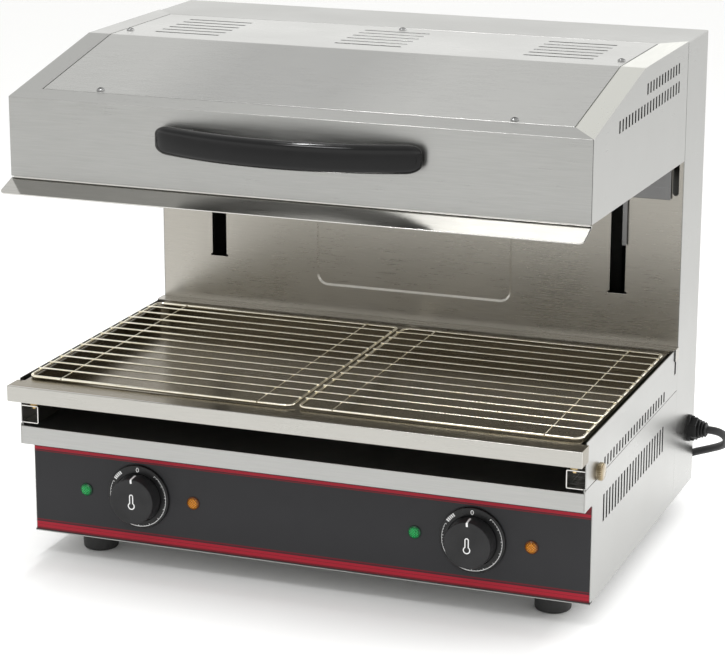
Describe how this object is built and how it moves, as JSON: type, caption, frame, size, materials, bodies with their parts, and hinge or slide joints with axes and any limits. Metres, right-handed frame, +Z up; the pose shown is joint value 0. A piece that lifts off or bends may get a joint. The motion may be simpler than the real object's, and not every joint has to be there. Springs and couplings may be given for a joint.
{
  "type": "cheese melter",
  "caption": "Electric lift salamander grill: a heated hood that slides down a rear column over a wire grid and drip pan, on a base with dials and pilot lamps.",
  "frame": {"origin": "centre of the appliance's outline in plan, within 4 mm because the handle's bow stands 8 mm further forward, at the bottom of its feet", "axes": "+X to the right seen from the front, +Y to the back, +Z up; the dials face -Y"},
  "size_m": [0.6509, 0.6515, 0.5304],
  "materials": {
    "stainless": "brushed stainless sheet",
    "mirror_steel": "bright polished stainless sheet",
    "fascia": "satin dark grey with red bands",
    "black_plastic": "satin black moulded",
    "bezel_black": "black with white scale",
    "handle_black": "gloss black moulded",
    "rod_steel": "ground and polished",
    "spring_steel": "dark drawn wire",
    "cast_aluminium": "machined",
    "plated_wire": "nickel-plated wire",
    "heater_tube": "dull heat-tinted tube",
    "screw_steel": "bright",
    "terminal_plastic": "cream moulded",
    "lamp_green": "translucent green lens",
    "lamp_orange": "translucent orange lens",
    "foot_rubber": "black moulded",
    "cord_rubber": "black jacket",
    "gland_plastic": "black moulded"
  },
  "bodies": {
    "root": {"base_front": "stainless", "base_shell": "stainless", "cable_gland": "gland_plastic", "column_front": "stainless", "column_shell": "stainless", "control_fascia": "fascia", "cord_coil": "cord_rubber", "cord_lead": "cord_rubber", "deck": "stainless", "dial_bezel_left": "bezel_black", "dial_bezel_right": "bezel_black", "feet": "foot_rubber", "foot_bolts": "screw_steel", "guide_rod_left": "rod_steel", "guide_rod_right": "rod_steel", "hot_lamps": "lamp_orange", "lift_spring_left": "spring_steel", "lift_spring_right": "spring_steel", "plug": "cord_rubber", "power_lamps": "lamp_green", "rear_cover": "stainless", "rear_cover_screws": "screw_steel", "rear_ledge": "stainless", "rod_holders_left": "cast_aluminium", "rod_holders_right": "cast_aluminium", "runner_left": "stainless", "runner_right": "stainless", "runner_screws": "screw_steel", "side_pegs": "stainless", "side_rail_left": "stainless", "side_rail_right": "stainless", "terminal_block": "terminal_plastic", "thermostat_left": "terminal_plastic", "thermostat_right": "terminal_plastic"},
    "hood": {"hood_shell": "stainless", "hood_cover": "stainless", "hood_cover_screws": "screw_steel", "hood_back": "stainless", "lift_arm_left": "stainless", "lift_arm_right": "stainless", "carriage_left": "cast_aluminium", "carriage_right": "cast_aluminium", "deflector": "mirror_steel", "reflector": "mirror_steel", "heater_left": "heater_tube", "heater_right": "heater_tube", "heater_hangers": "stainless", "handle": "handle_black"},
    "pan": {"grill_pan": "stainless"},
    "left_grid": {"grid_left": "plated_wire"},
    "right_grid": {"grid_right": "plated_wire"},
    "left_dial": {"knob_left": "black_plastic", "knob_shaft_left": "rod_steel"},
    "right_dial": {"knob_right": "black_plastic", "knob_shaft_right": "rod_steel"}
  },
  "joints": [
    {"name": "hood_lift", "type": "slide", "parent": "root", "child": "hood", "axis": [0, 0, -1], "range_m": [0, 0.105], "deforming": ["lift_spring_left", "lift_spring_right"]},
    {"name": "left_dial_turn", "type": "hinge", "parent": "root", "child": "left_dial", "pos_m": [-0.18, -0.1745, 0.079], "axis": [0, 1, 0], "range_deg": [0, 300]},
    {"name": "right_dial_turn", "type": "hinge", "parent": "root", "child": "right_dial", "pos_m": [0.18, -0.1745, 0.079], "axis": [0, 1, 0], "range_deg": [0, 300]},
    {"name": "pan_slide", "type": "slide", "parent": "root", "child": "pan", "axis": [0, -1, 0], "range_m": [0, 0.25]},
    {"name": "left_grid_lift", "type": "slide", "parent": "pan", "child": "left_grid", "axis": [0, 0, 1], "range_m": [0, 0.06]},
    {"name": "right_grid_lift", "type": "slide", "parent": "pan", "child": "right_grid", "axis": [0, 0, 1], "range_m": [0, 0.06]}
  ]
}
